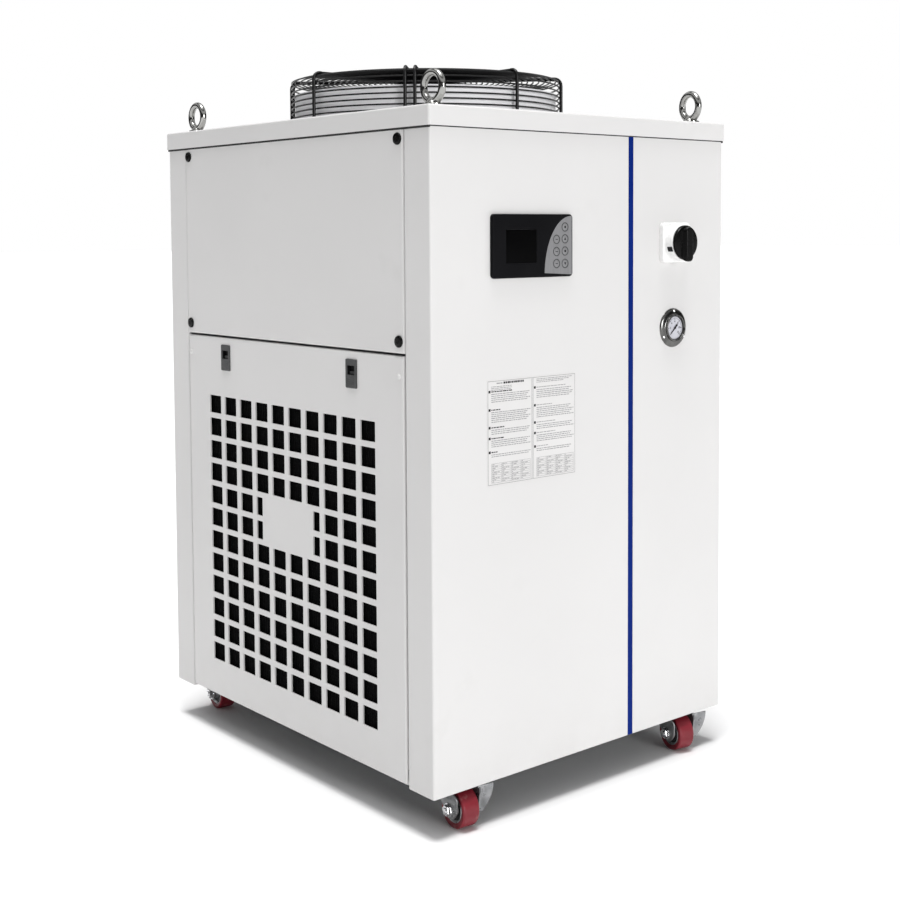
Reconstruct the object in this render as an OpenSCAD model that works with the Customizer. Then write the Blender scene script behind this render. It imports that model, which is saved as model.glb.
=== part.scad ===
/* [Cabinet] */
// Width of the cabinet across the front
body_w = 645; // [620:1:670]
// Depth of the cabinet from front to back
body_d = 756; // [740:1:780]
// Height of the cabinet from its bottom edge to the top of the roof cap
body_h = 1012; // [1000:1:1040]
// Height of the cabinet's bottom edge above the floor
clear = 66; // [66:1:72]
// Thickness of the painted sheet steel
sheet = 2; // [1.5:0.5:2.5]
// Width of the corner strips on the two sides
post = 58; // [54:1:62]
// Depth of the roof cap's skirt
skirt = 30; // [26:1:36]
// How far the roof cap stands out past the panels
lip = 2.5; // [2.5:0.5:4]

/* [Side doors] */
// Height of the seam between the upper panel and the door, above the bottom edge
seam_h = 650; // [640:1:670]
// Gap around the door
door_gap = 5; // [4:0.5:6]
// Number of grille columns
cols = 10; // [8:2:10]
// Number of grille rows
rows = 12; // [10:1:12]
// Width of one grille hole
hole_w = 38; // [30:1:40]
// Height of one grille hole
hole_h = 31.5; // [26:0.5:33]
// Column spacing
pitch_w = 50; // [46:1:50]
// Row spacing
pitch_h = 40.4; // [38:0.2:41]
// Height of the lowest row of holes above the bottom edge
grille_z = 68; // [64:1:72]

/* [Fan] */
// Distance of the fan's centre behind the middle of the roof
fan_y = 29; // [0:1:40]
// Outer radius of the wire guard
guard_r = 243; // [240:1:250]
// Height of the guard above the roof
guard_h = 88; // [84:1:96]
// Inner radius of the fan ring
ring_r = 229; // [226:1:230]
// Height of the fan ring above the roof
ring_h = 57; // [52:1:60]
// Number of fan blades
blades = 5; // [4:1:7]

/* [Front] */
// Left edge of the blue strip from the left corner
strip_x = 413; // [400:1:430]
// Width of the blue strip
strip_w = 11; // [8:1:14]
// Distance of the switch and gauge from the left corner
dial_x = 520; // [510:1:530]
// Height of the switch above the bottom edge
switch_z = 810; // [790:1:830]
// Height of the gauge above the bottom edge
gauge_z = 668; // [650:1:680]

/* [Casters] */
// Radius of the wheels
wheel_r = 30; // [27:0.5:30]
// Width of the wheels
wheel_w = 30; // [26:1:30]
// Distance of the swivel axis from the sides
king_x = 75; // [72:1:90]
// Distance of the swivel axis from the front and the back
king_y = 52; // [50:1:60]
// Distance of the axle behind the swivel axis
trail = 26; // [22:1:26]

/* [Hidden] */
$fn = 48;
hw = body_w/2;
hd = body_d/2;
zb = clear;
zt = clear + body_h;
floor_z = zb + 22;
rail_in = 9;
hinge_x = 5.5;
hinge_z = zb + 9;
zs = zb + seam_h;
door_hw = hd - post - door_gap;
door_z0 = zb + 6;
door_z1 = zs - door_gap/2;
gy0 = -((cols - 1)*pitch_w + hole_w)/2;
eye_in = 38;
eye_turn = [0, -10, 0, 6];
swivels = [[-1, -1, 5], [1, -1, 12], [-1, 1, 186], [1, 1, 166]];
paint = [0.91, 0.91, 0.90];
zinc = [0.68, 0.69, 0.70];

// Box between two corners
module bx(a, b) { translate(a) cube([b[0] - a[0], b[1] - a[1], b[2] - a[2]]); }

// Plate with rounded corners standing in the front face, from depth y0 to y1
module front_plate(x0, x1, z0, z1, r, y0, y1) {
    translate([0, y1, 0]) rotate([90, 0, 0]) linear_extrude(y1 - y0) union() {
        translate([x0 + r, z0]) square([x1 - x0 - 2*r, z1 - z0]);
        translate([x0, z0 + r]) square([x1 - x0, z1 - z0 - 2*r]);
        for (x = [x0 + r, x1 - r], z = [z0 + r, z1 - r]) translate([x, z]) circle(r);
    }
}

// Round bar along Y between two depths
module ybar(x, z, r, y0, y1, n = 48) { translate([x, y0, z]) rotate([-90, 0, 0]) cylinder(r = r, h = y1 - y0, $fn = n); }

// ---- base ----
module base_plate() color(paint) bx([-hw + rail_in, -hd + sheet, floor_z], [hw - rail_in, hd - sheet, floor_z + 3]);

module base_rails() color(paint) union() {
    difference() {
        bx([-hw + rail_in, -hd + sheet, zb], [hw - rail_in, hd - sheet, floor_z]);
        bx([-hw + rail_in + 3, -hd + sheet + 3, zb - 1], [hw - rail_in - 3, hd - sheet - 3, floor_z + 1]);
    }
    // lugs at the foot of the two side doors, with the pins that the doors hinge on
    for (m = [0, 1]) mirror([m, 0, 0]) {
        for (s = [-1, 1]) translate([0, s*210, 0]) {
            for (e = [-21, 17]) bx([-hw + 3.2, e, hinge_z - 2], [-hw + rail_in + 1, e + 4, hinge_z + 2]);
            ybar(-hw + hinge_x, hinge_z, 1.5, -20, 20);
        }
    }
}

// ---- fixed panels ----
// Corner strip on the left side with its inward fold, at the front
module corner_strip() {
    bx([-hw, -hd, zb], [-hw + sheet, -hd + post, zt - sheet]);
    bx([-hw, -hd + post - sheet, floor_z + 3], [-hw + 16, -hd + post, zt - sheet]);
}

module front_main_panel() color(paint) difference() {
    union() {
        bx([-hw, -hd, zb], [-hw + strip_x, -hd + sheet, zt - sheet]);
        corner_strip();
    }
    bx([-201, -hd - 1, zb + 767], [-50, -hd + sheet + 1, zb + 849]);
}

module front_service_panel() color(paint) difference() {
    union() {
        bx([-hw + strip_x + strip_w, -hd, zb], [hw, -hd + sheet, zt - sheet]);
        mirror([1, 0, 0]) corner_strip();
    }
    ybar(-hw + dial_x, zb + gauge_z, 26, -hd - 1, -hd + sheet + 1);
}

module blue_strip() color([0.02, 0.16, 0.47]) bx([-hw + strip_x, -hd + 0.4, zb], [-hw + strip_x + strip_w, -hd + sheet, zt - sheet]);

module back_panel() color(paint) difference() {
    union() {
        bx([-hw, hd - sheet, zb], [hw, hd, zt - sheet]);
        mirror([0, 1, 0]) { corner_strip(); mirror([1, 0, 0]) corner_strip(); }
    }
    for (z = [300, 420]) ybar(150, z, 17, hd - 10, hd + 1);
    ybar(-180, 220, 12, hd - 10, hd + 1);
}

module roof_cap() color(paint) difference() {
    bx([-hw - lip, -hd - lip, zt - skirt], [hw + lip, hd + lip, zt]);
    bx([-hw - 0.5, -hd - 0.5, zt - skirt - 1], [hw + 0.5, hd + 0.5, zt - sheet]);
    translate([0, fan_y, zt - 10]) cylinder(r = ring_r + 2.3, h = 20, $fn = 96);
}

module upper_panel() difference() {
    bx([-hw, -door_hw, zs + door_gap/2], [-hw + sheet, door_hw, zt - sheet - 2]);
    for (s = [-1, 1], z = [669, 966]) translate([-hw - 1, s*(hd - 73), zb + z]) rotate([0, 90, 0]) cylinder(r = 3, h = sheet + 2);
}
module left_upper_panel() color(paint) upper_panel();
module right_upper_panel() color(paint) mirror([1, 0, 0]) upper_panel();

// Black thumb screws that hold the upper panels
module panel_screws() color([0.05, 0.05, 0.05])
    for (m = [0, 1]) mirror([m, 0, 0]) for (s = [-1, 1], z = [669, 966])
        translate([-hw, s*(hd - 73), zb + z]) rotate([0, 90, 0]) union() {
            translate([0, 0, -4]) cylinder(r = 9, h = 4);
            translate([0, 0, -0.01]) cylinder(r = 2.9, h = 12);
        }

// ---- behind the grilles ----
module condenser() bx([-hw + 40, -280, floor_z + 3], [-hw + 75, 280, zs - 20]);
module left_condenser() color([0.06, 0.06, 0.07]) condenser();
module right_condenser() color([0.06, 0.06, 0.07]) mirror([1, 0, 0]) condenser();

// ---- fan ----
module fan_ring() color([0.80, 0.80, 0.82]) translate([0, fan_y, 0]) rotate_extrude($fn = 96)
    polygon([[ring_r, zt - 40], [ring_r + 2, zt - 40], [ring_r + 2, zt + ring_h - 3], [ring_r + 5, zt + ring_h - 3], [ring_r + 5, zt + ring_h], [ring_r, zt + ring_h]]);

// Square wire ring of mean radius r lying at height z
module wire_ring(r, z, w) translate([0, 0, z]) rotate_extrude($fn = 96) translate([r - w/2, 0]) square([w, w]);

// Directions of the guard's ribs: single on the axes, paired on the diagonals
rib_dirs = [for (k = [0:3]) each [[k*90, 0], [k*90 + 45, -8], [k*90 + 45, 8]]];

module guard_side() color([0.03, 0.03, 0.03]) translate([0, fan_y, zt]) union() {
    for (k = [0:4]) wire_ring(guard_r - 6, 8 + k*(guard_h - 20)/4, 3);
    for (d = rib_dirs) rotate([0, 0, d[0]]) translate([guard_r - 5, d[1] - 2.5, 0]) cube([5, 5, guard_h - 5]);
}

module guard_top() color([0.03, 0.03, 0.03]) translate([0, fan_y, zt + guard_h - 5]) union() {
    for (k = [0:6]) wire_ring(guard_r - 12 - k*26, -2, 3);
    for (d = rib_dirs) rotate([0, 0, d[0]]) translate([45, d[1] - 2.5, 0]) cube([guard_r - 45, 5, 5]);
    translate([0, 0, -2]) cylinder(r = 56, h = 4);
}

module fan_motor() color([0.08, 0.08, 0.09]) translate([0, fan_y, zt + guard_h - 7]) difference() {
    union() {
        translate([0, 0, -8]) cylinder(r = 52, h = 8);
        translate([0, 0, -22]) cylinder(r = 40, h = 14.5);
    }
    translate([0, 0, -23]) cylinder(r = 8.05, h = 20);
}

module fan_rotor() color([0.10, 0.10, 0.11]) translate([0, fan_y, 0]) union() {
    translate([0, 0, zt + 8]) cylinder(r = 60, h = 46);
    translate([0, 0, zt + 53]) cylinder(r = 8, h = 22);
    intersection() {
        for (k = [0:blades - 1]) rotate([0, 0, k*360/blades]) translate([138, 0, zt + 29]) rotate([20, 0, 0]) cube([180, 112, 3], center = true);
        translate([0, 0, zt]) cylinder(r = ring_r - 8, h = 60, $fn = 96);
    }
}

// ---- lifting eyes ----
module eye(i) color([0.74, 0.75, 0.77]) translate([(i % 2 == 0 ? -1 : 1)*(hw - eye_in), (i < 2 ? -1 : 1)*(hd - eye_in), zt]) union() {
    cylinder(r = 15, h = 5);
    translate([0, 0, 4]) cylinder(r1 = 14, r2 = 8, h = 6);
    translate([0, 0, 29]) rotate([90, 0, 90 + eye_turn[i]]) rotate_extrude() difference() {
        translate([21, 0]) circle(6);
        translate([0, -10]) square([16, 20]);
    }
}
module lifting_eye_front_left() eye(0);
module lifting_eye_front_right() eye(1);
module lifting_eye_back_left() eye(2);
module lifting_eye_back_right() eye(3);

// ---- controller ----
module controller_housing() color([0.09, 0.09, 0.10]) difference() {
    union() {
        front_plate(-208.5, -42.5, zb + 760, zb + 856, 6, -hd - 6, -hd);
        bx([-200, -hd - 1, zb + 768], [-51, -hd + 35, zb + 848]);
    }
    bx([-181.5, -hd - 7, zb + 782.5], [-119.5, -hd - 5, zb + 832.5]);
}
module controller_screen() color([0.03, 0.03, 0.03]) bx([-181.5, -hd - 5.6, zb + 782.5], [-119.5, -hd - 5, zb + 832.5]);

// Silver key field with a bowed left border
module controller_keypad() color([0.55, 0.55, 0.57]) translate([0, -hd - 6, 0]) rotate([90, 0, 0]) linear_extrude(0.4)
    polygon([[-45, zb + 763], for (t = [0:6:90]) [-45 - 58*cos(t), zb + 763 + 90.5*sin(t)]]);

// ---- switch ----
module switch_base() color([0.93, 0.93, 0.92]) difference() {
    union() {
        front_plate(-hw + dial_x - 34, -hw + dial_x + 34, zb + switch_z - 33, zb + switch_z + 33, 7, -hd - 9, -hd);
        ybar(-hw + dial_x, zb + switch_z, 30, -hd - 24, -hd - 8);
    }
    ybar(-hw + dial_x, zb + switch_z, 6.05, -hd - 25, -hd - 10);
}
module switch_knob() color([0.04, 0.04, 0.04]) union() {
    ybar(-hw + dial_x, zb + switch_z, 28.5, -hd - 30, -hd - 24.5);
    ybar(-hw + dial_x, zb + switch_z, 6, -hd - 25, -hd - 11);
    bx([-hw + dial_x - 9, -hd - 38, zb + switch_z - 31.5], [-hw + dial_x + 9, -hd - 29, zb + switch_z + 31.5]);
}

// ---- gauge ----
module gauge_case() color([0.72, 0.72, 0.73]) difference() {
    union() {
        ybar(-hw + dial_x, zb + gauge_z, 32.5, -hd - 3, -hd);
        ybar(-hw + dial_x, zb + gauge_z, 22.5, -hd - 9, -hd - 2);
        ybar(-hw + dial_x, zb + gauge_z, 25, -hd - 1, -hd + 28);
        ybar(-hw + dial_x, zb + gauge_z, 8, -hd + 27, -hd + 44);
    }
    ybar(-hw + dial_x, zb + gauge_z, 19.5, -hd - 10, -hd - 4);
}
module gauge_dial() color([0.94, 0.94, 0.93]) ybar(-hw + dial_x, zb + gauge_z, 19.2, -hd - 4.6, -hd - 4);

// ---- side doors ----
module door() difference() {
    union() {
        bx([-hw, -door_hw, door_z0], [-hw + sheet, door_hw, door_z1]);
        for (s = [-1, 1]) {
            ybar(-hw + hinge_x, hinge_z, 3, s*210 - 16, s*210 + 16);
            bx([-hw + 1, s*210 - 16, hinge_z - 2], [-hw + hinge_x - 1, s*210 + 16, hinge_z + 2]);
        }
    }
    for (s = [-1, 1]) ybar(-hw + hinge_x, hinge_z, 1.55, s*210 - 17, s*210 + 17);
    for (c = [0:cols - 1], r = [0:rows - 1]) {
        y0 = gy0 + c*pitch_w;
        z0 = zb + grille_z + r*pitch_h;
        plate_row = (r == rows - 5 || r == rows - 6);
        m = cols/2;
        if (!(plate_row && (c == m - 1 || c == m)))
            bx([-hw - 1, y0 + ((plate_row && c == m + 1) ? hole_w/2 : 0), z0], [-hw + sheet + 1, y0 + hole_w - ((plate_row && c == m - 2) ? hole_w/2 : 0), z0 + hole_h]);
    }
    for (s = [-1, 1]) bx([-hw - 1, s*186 - 12, zb + 593], [-hw + sheet + 1, s*186 + 12, zb + 633]);
}
module left_door() color(paint) door();
module right_door() color(paint) mirror([1, 0, 0]) door();

// Two slide latches on one door
module latches() for (s = [-1, 1]) difference() {
    union() {
        bx([-hw - 3, s*186 - 14, zb + 590.5], [-hw, s*186 + 14, zb + 635.5]);
        bx([-hw - 1, s*186 - 12, zb + 593], [-hw + 10, s*186 + 12, zb + 633]);
    }
    bx([-hw - 4, s*186 - 10, zb + 611], [-hw + 5, s*186 + 10, zb + 625.5]);
}
module left_door_latches() color([0.43, 0.45, 0.45]) latches();
module right_door_latches() color([0.43, 0.45, 0.45]) mirror([1, 0, 0]) latches();

module filter() bx([-hw + sheet, gy0 - 20, zb + grille_z - 18], [-hw + 10, -gy0 + 20, zb + grille_z + (rows - 1)*pitch_h + hole_h + 14]);
module left_dust_filter() color([0.04, 0.04, 0.05]) filter();
module right_dust_filter() color([0.04, 0.04, 0.05]) mirror([1, 0, 0]) filter();

// ---- fittings on the back ----
module water_port(z) color([0.76, 0.62, 0.33]) difference() {
    union() {
        ybar(150, z, 28, hd, hd + 4);
        ybar(150, z, 24, hd + 3, hd + 22, 6);
        ybar(150, z, 20.5, hd + 21, hd + 38);
        ybar(150, z, 16.5, hd - 30, hd + 1);
    }
    ybar(150, z, 15.2, hd + 22, hd + 39);
}
module water_inlet() water_port(420);
module water_outlet() water_port(300);
module cable_gland() color([0.10, 0.10, 0.10]) difference() {
    union() {
        ybar(-180, 220, 18, hd, hd + 8, 6);
        ybar(-180, 220, 15, hd + 7, hd + 24);
        ybar(-180, 220, 11.5, hd - 14, hd + 1);
    }
    ybar(-180, 220, 7, hd - 15, hd + 25);
}

// ---- casters, each drawn with its swivel axis on the Z axis ----
module at_caster(i, turn = true) translate([swivels[i][0]*(hw - king_x), swivels[i][1]*(hd - king_y), 0]) rotate([0, 0, turn ? -swivels[i][2] : 0]) children();

module caster_plates() color(zinc) for (i = [0:3]) at_caster(i, false) union() {
    bx([-34, -30, floor_z - 3.5], [34, 30, floor_z]);
    translate([0, 0, floor_z - 8]) cylinder(r = 25, h = 5);
    translate([0, 0, floor_z - 17]) cylinder(r = 6, h = 10);
    translate([0, 0, floor_z - 17]) cylinder(r = 10, h = 3);
}

// Side outline of one fork leg, in the YZ plane of the caster
module leg_outline() union() {
    polygon([[20, floor_z - 9], [20, floor_z - 17], [-trail + 11, wheel_r - 7], [-trail, wheel_r - 12], [-trail - 11, wheel_r - 9], [-trail - 21, wheel_r + 2], [-trail - 22, wheel_r + 22], [-30, wheel_r + 37], [-24, floor_z - 9]]);
    translate([-trail, wheel_r]) circle(12.5);
}
// Brake plate of a front caster, standing out from the leg beside the wheel
module brake_plate() {
    translate([0, -trail - 12.8, 0]) rotate([90, 0, 0]) linear_extrude(2.5)
        polygon([[21.8, wheel_r - 6], [31, wheel_r - 9], [40, wheel_r], [47, wheel_r + 11.5], [50.5, wheel_r + 21], [51.5, wheel_r + 31], [21.8, wheel_r + 31]]);
}
// Fork with upright legs at the axle that flare out to the swivel head
module fork(i) color(zinc) at_caster(i) difference() {
    union() {
        translate([0, 0, floor_z - 13]) cylinder(r = 32, h = 4);
        for (s = [-1, 1]) {
            intersection() {
                translate([s*20.5 - 1.5, 0, 0]) rotate([90, 0, 90]) linear_extrude(3) leg_outline();
                translate([-50, -100, 0]) cube([100, 200, wheel_r + 16]);
            }
            intersection() {
                translate([s*20.5, 0, wheel_r + 15]) rotate([0, s*16, 0]) translate([-1.5, 0, -wheel_r - 15]) rotate([90, 0, 90]) linear_extrude(3) leg_outline();
                translate([-50, -100, wheel_r + 14.5]) cube([100, 200, floor_z - 9 - wheel_r - 14.5]);
            }
        }
        translate([0, -trail, wheel_r]) rotate([0, 90, 0]) cylinder(r = 5, h = 46, center = true);
        for (s = [-1, 1]) translate([s*24.5, -trail, wheel_r]) rotate([0, 90, 0]) cylinder(r = 8.5, h = 6, center = true, $fn = 6);
        if (i < 2) brake_plate();
    }
    translate([0, 0, floor_z - 20]) cylinder(r = 6.05, h = 20);
}
module fork_front_left() fork(0);
module fork_front_right() fork(1);
module fork_back_left() fork(2);
module fork_back_right() fork(3);

module wheel(i) color([0.50, 0.14, 0.18]) at_caster(i) translate([0, -trail, wheel_r]) rotate([0, 90, 0]) difference() {
    union() {
        cylinder(r = wheel_r, h = wheel_w - 4, center = true, $fn = 96);
        cylinder(r = wheel_r - 2, h = wheel_w, center = true, $fn = 96);
        cylinder(r = 11, h = wheel_w + 4, center = true);
    }
    cylinder(r = 5.05, h = wheel_w + 10, center = true);
}
module wheel_front_left() wheel(0);
module wheel_front_right() wheel(1);
module wheel_back_left() wheel(2);
module wheel_back_right() wheel(3);

base_plate();
base_rails();
front_main_panel();
front_service_panel();
blue_strip();
back_panel();
roof_cap();
left_upper_panel();
right_upper_panel();
panel_screws();
left_condenser();
right_condenser();
fan_ring();
guard_side();
guard_top();
fan_motor();
fan_rotor();
lifting_eye_front_left();
lifting_eye_front_right();
lifting_eye_back_left();
lifting_eye_back_right();
controller_housing();
controller_screen();
controller_keypad();
switch_base();
switch_knob();
gauge_case();
gauge_dial();
left_door();
left_door_latches();
left_dust_filter();
right_door();
right_door_latches();
right_dust_filter();
water_inlet();
water_outlet();
cable_gland();
caster_plates();
fork_front_left();
fork_front_right();
fork_back_left();
fork_back_right();
wheel_front_left();
wheel_front_right();
wheel_back_left();
wheel_back_right();
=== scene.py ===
import math
import bpy
import bmesh
from mathutils import Matrix, Vector
from mathutils.geometry import delaunay_2d_cdt


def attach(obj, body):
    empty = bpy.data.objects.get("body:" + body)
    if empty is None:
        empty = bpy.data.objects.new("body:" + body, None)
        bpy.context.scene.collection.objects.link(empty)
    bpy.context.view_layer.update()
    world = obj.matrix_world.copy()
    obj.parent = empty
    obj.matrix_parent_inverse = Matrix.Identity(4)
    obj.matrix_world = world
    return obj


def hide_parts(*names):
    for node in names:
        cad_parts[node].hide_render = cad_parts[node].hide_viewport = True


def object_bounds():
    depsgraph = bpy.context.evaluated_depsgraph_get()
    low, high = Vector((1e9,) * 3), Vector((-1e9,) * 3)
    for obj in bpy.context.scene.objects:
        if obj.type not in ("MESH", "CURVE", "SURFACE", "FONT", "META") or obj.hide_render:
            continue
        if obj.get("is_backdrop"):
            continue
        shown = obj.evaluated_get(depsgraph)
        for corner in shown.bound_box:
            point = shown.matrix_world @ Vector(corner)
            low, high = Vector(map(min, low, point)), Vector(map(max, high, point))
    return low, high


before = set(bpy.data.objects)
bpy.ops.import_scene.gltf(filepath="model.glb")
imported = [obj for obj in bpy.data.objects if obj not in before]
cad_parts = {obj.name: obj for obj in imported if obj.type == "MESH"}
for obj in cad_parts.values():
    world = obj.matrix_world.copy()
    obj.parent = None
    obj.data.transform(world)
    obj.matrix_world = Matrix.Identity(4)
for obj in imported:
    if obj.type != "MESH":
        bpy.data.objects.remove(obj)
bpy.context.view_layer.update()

MM = 0.001
HW, HD, ZB, ZT = 322.5, 378.0, 66.0, 1078.0
FZ = ZB + 22.0
ZS = ZB + 650.0
DHW, DZ0, DZ1 = 315.0, ZB + 4.0, ZS - 2.5
PHW, PX = 316.6, HW + 1.1
FY = 29.0
DIAL = -HW + 520.0
SWZ, GAZ = ZB + 810.0, ZB + 668.0
PI = math.pi
cos, sin, rad = math.cos, math.sin, math.radians


# ------------------------------------------------------------------ materials
def material(name, c1, c2, rough, metallic=0.0, scale=6.0, detail=5.0, bump=None, stretch=(1, 1, 1), coat=0.0,
             cells=None, grime=None, scuff=None, spec=0.5, aniso=0.0):
    """Procedural material in the piece's own coordinates: two tones mixed by noise, uneven gloss, fine relief,
    and where asked crystal cells, dirt near the floor and rubbed patches."""
    m = bpy.data.materials.new(name)
    m.use_nodes = True
    t = m.node_tree
    n, link = t.nodes, t.links.new
    p = n["Principled BSDF"]
    p.inputs["Metallic"].default_value = metallic
    p.inputs["Specular IOR Level"].default_value = spec
    if coat:
        p.inputs["Coat Weight"].default_value = coat
        p.inputs["Coat Roughness"].default_value = 0.08
    if aniso:
        p.inputs["Anisotropic"].default_value = aniso
    tc = n.new("ShaderNodeTexCoord")
    mp = n.new("ShaderNodeMapping")
    mp.inputs["Scale"].default_value = stretch
    link(tc.outputs["Object"], mp.inputs["Vector"])

    def noise(s, d, src=mp):
        x = n.new("ShaderNodeTexNoise")
        x.inputs["Scale"].default_value = s
        x.inputs["Detail"].default_value = d
        link(src.outputs["Vector" if src is mp else "Object"], x.inputs["Vector"])
        return x.outputs[0]

    def remap(value, a, b, lo, hi):
        x = n.new("ShaderNodeMapRange")
        for k, v in (("From Min", a), ("From Max", b), ("To Min", lo), ("To Max", hi)):
            x.inputs[k].default_value = v
        link(value, x.inputs["Value"])
        return x.outputs[0]

    def mix(fac, a, b):
        x = n.new("ShaderNodeMix")
        x.data_type = "RGBA"
        link(fac, x.inputs[0])
        for i, c in ((6, a), (7, b)):
            if hasattr(c, "links"):
                link(c, x.inputs[i])
            else:
                x.inputs[i].default_value = (*c, 1)
        return x.outputs[2]

    colour = mix(remap(noise(scale, detail), 0.3, 0.7, 0.0, 1.0), c1, c2)
    gloss = remap(noise(scale * 2.3, detail, tc), 0.28, 0.72, rough[0], rough[1])
    if cells:
        v = n.new("ShaderNodeTexVoronoi")
        v.inputs["Scale"].default_value = cells[0]
        link(tc.outputs["Object"], v.inputs["Vector"])
        sep = n.new("ShaderNodeSeparateColor")
        link(v.outputs["Color"], sep.inputs[0])
        colour = mix(remap(sep.outputs[0], 0, 1, 0, cells[2]), colour, cells[1])
    if scuff:
        colour = mix(remap(noise(scuff[0], 8.0, tc), scuff[2], scuff[2] + 0.08, 0.0, scuff[3]), colour, scuff[1])
    if grime:
        xyz = n.new("ShaderNodeSeparateXYZ")
        link(tc.outputs["Object"], xyz.inputs[0])
        low = remap(xyz.outputs["Z"], grime[0], grime[1], grime[2], 0.0)
        mul = n.new("ShaderNodeMath")
        mul.operation = "MULTIPLY"
        link(low, mul.inputs[0])
        link(remap(noise(22.0, 8.0, tc), 0.35, 0.65, 0.2, 1.0), mul.inputs[1])
        colour = mix(mul.outputs[0], colour, grime[3])
    link(colour, p.inputs["Base Color"])
    link(gloss, p.inputs["Roughness"])
    if bump:
        b = n.new("ShaderNodeBump")
        b.inputs["Strength"].default_value = bump[1]
        b.inputs["Distance"].default_value = bump[2]
        link(noise(bump[0], 2.0), b.inputs["Height"])
        link(b.outputs["Normal"], p.inputs["Normal"])
    return m


DIRT = (0.42, 0.40, 0.37)
WHITE = material("powder_white", (0.640, 0.634, 0.630), (0.674, 0.668, 0.663), (0.36, 0.48), scale=2.2, bump=(620.0, 0.07, 0.0004),
                 grime=(0.066, 0.16, 0.10, DIRT), scuff=(9.0, (0.612, 0.606, 0.598), 0.66, 0.35))
BLUE = material("powder_blue", (0.0004, 0.012, 0.14), (0.0008, 0.018, 0.18), (0.4, 0.55), scale=5.0, bump=(620.0, 0.07, 0.0004), spec=0.05)
WIRE = material("black_wire_coat", (0.0018, 0.0018, 0.002), (0.005, 0.005, 0.0055), (0.26, 0.44), scale=18.0, bump=(420.0, 0.1, 0.0004), spec=0.28)
DRUM = material("grey_drum", (0.88, 0.88, 0.90), (0.92, 0.92, 0.935), (0.38, 0.55), scale=5.0, stretch=(1, 1, 0.25), bump=(500.0, 0.08, 0.0004))
FANBLACK = material("fan_black", (0.006, 0.006, 0.007), (0.013, 0.013, 0.014), (0.38, 0.58), scale=9.0, bump=(300.0, 0.1, 0.0005), spec=0.25,
                    scuff=(30.0, (0.06, 0.058, 0.055), 0.62, 0.4))
ZINC = material("zinc_plate", (0.24, 0.245, 0.255), (0.50, 0.505, 0.52), (0.22, 0.42), metallic=0.8, scale=42.0, bump=(260.0, 0.2, 0.0006),
                cells=(230.0, (0.74, 0.76, 0.78), 0.45), scuff=(45.0, (0.36, 0.36, 0.36), 0.63, 0.5))
FORKZINC = material("fork_zinc", (0.13, 0.133, 0.138), (0.33, 0.333, 0.342), (0.24, 0.42), metallic=0.7, scale=42.0, bump=(260.0, 0.2, 0.0006),
                    grime=(0.010, 0.05, 0.25, DIRT), scuff=(38.0, (0.46, 0.462, 0.47), 0.60, 0.5))
CHROME = material("bright_plate", (0.70, 0.70, 0.71), (0.84, 0.84, 0.85), (0.07, 0.17), metallic=1.0, scale=35.0, bump=(180.0, 0.05, 0.0005))
EYESTEEL = material("eye_steel", (0.27, 0.27, 0.262), (0.43, 0.43, 0.415), (0.08, 0.18), metallic=1.0, scale=35.0, bump=(180.0, 0.06, 0.0005))
STEEL = material("stainless", (0.075, 0.075, 0.073), (0.15, 0.15, 0.145), (0.15, 0.27), metallic=1.0, scale=60.0, bump=(500.0, 0.05, 0.0003))
BLACK = material("black_plastic", (0.0026, 0.0026, 0.0034), (0.0052, 0.0052, 0.0062), (0.34, 0.46), scale=14.0, bump=(1500.0, 0.10, 0.0003), spec=0.05)
KNOB = material("black_knob", (0.0008, 0.0008, 0.0008), (0.002, 0.002, 0.002), (0.20, 0.32), scale=20.0, bump=(900.0, 0.06, 0.0003), spec=0.12)
SCREEN = material("screen_glass", (0.0005, 0.0005, 0.0006), (0.0012, 0.0012, 0.0014), (0.10, 0.18), scale=12.0, bump=(60.0, 0.02, 0.0002), spec=0.035)
SILVER = material("silver_film", (0.195, 0.195, 0.202), (0.238, 0.238, 0.245), (0.40, 0.52), metallic=0.25, scale=900.0, stretch=(1, 1, 0.03), bump=(900.0, 0.04, 0.0002))
PALEWHITE = material("white_plastic", (0.80, 0.80, 0.79), (0.85, 0.85, 0.84), (0.22, 0.34), scale=16.0, bump=(700.0, 0.03, 0.0003))
DIALFACE = material("dial_face", (0.50, 0.505, 0.56), (0.58, 0.585, 0.63), (0.32, 0.45), scale=45.0, coat=0.6, bump=(900.0, 0.03, 0.0002))
INK = material("black_ink", (0.004, 0.004, 0.005), (0.010, 0.010, 0.011), (0.45, 0.6), scale=80.0, bump=(1500.0, 0.05, 0.0002), spec=0.2)
GREYINK = material("grey_ink", (0.20, 0.20, 0.205), (0.31, 0.31, 0.315), (0.5, 0.65), scale=160.0, bump=(1500.0, 0.05, 0.0002))
PAPER = material("sheet_film", (0.640, 0.632, 0.628), (0.680, 0.672, 0.667), (0.30, 0.42), scale=11.0, bump=(90.0, 0.04, 0.0004))
LATCH = material("latch_grey", (0.044, 0.046, 0.047), (0.072, 0.074, 0.075), (0.42, 0.58), scale=30.0, bump=(1200.0, 0.1, 0.0003), spec=0.25)
MESHBLACK = material("filter_black", (0.0012, 0.0012, 0.0014), (0.004, 0.004, 0.0045), (0.7, 0.9), scale=120.0, bump=(900.0, 0.25, 0.0006), spec=0.08)
FINS = material("dark_fins", (0.05, 0.052, 0.056), (0.10, 0.10, 0.105), (0.42, 0.6), metallic=0.6, scale=20.0, stretch=(1, 6, 0.4), bump=(400.0, 0.1, 0.0004))
COPPER = material("copper_tube", (0.42, 0.20, 0.12), (0.56, 0.29, 0.18), (0.26, 0.45), metallic=1.0, scale=30.0, bump=(200.0, 0.05, 0.0004))
BRASS = material("brass", (0.50, 0.36, 0.14), (0.64, 0.48, 0.21), (0.24, 0.42), metallic=1.0, scale=40.0, bump=(300.0, 0.06, 0.0004))
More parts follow.
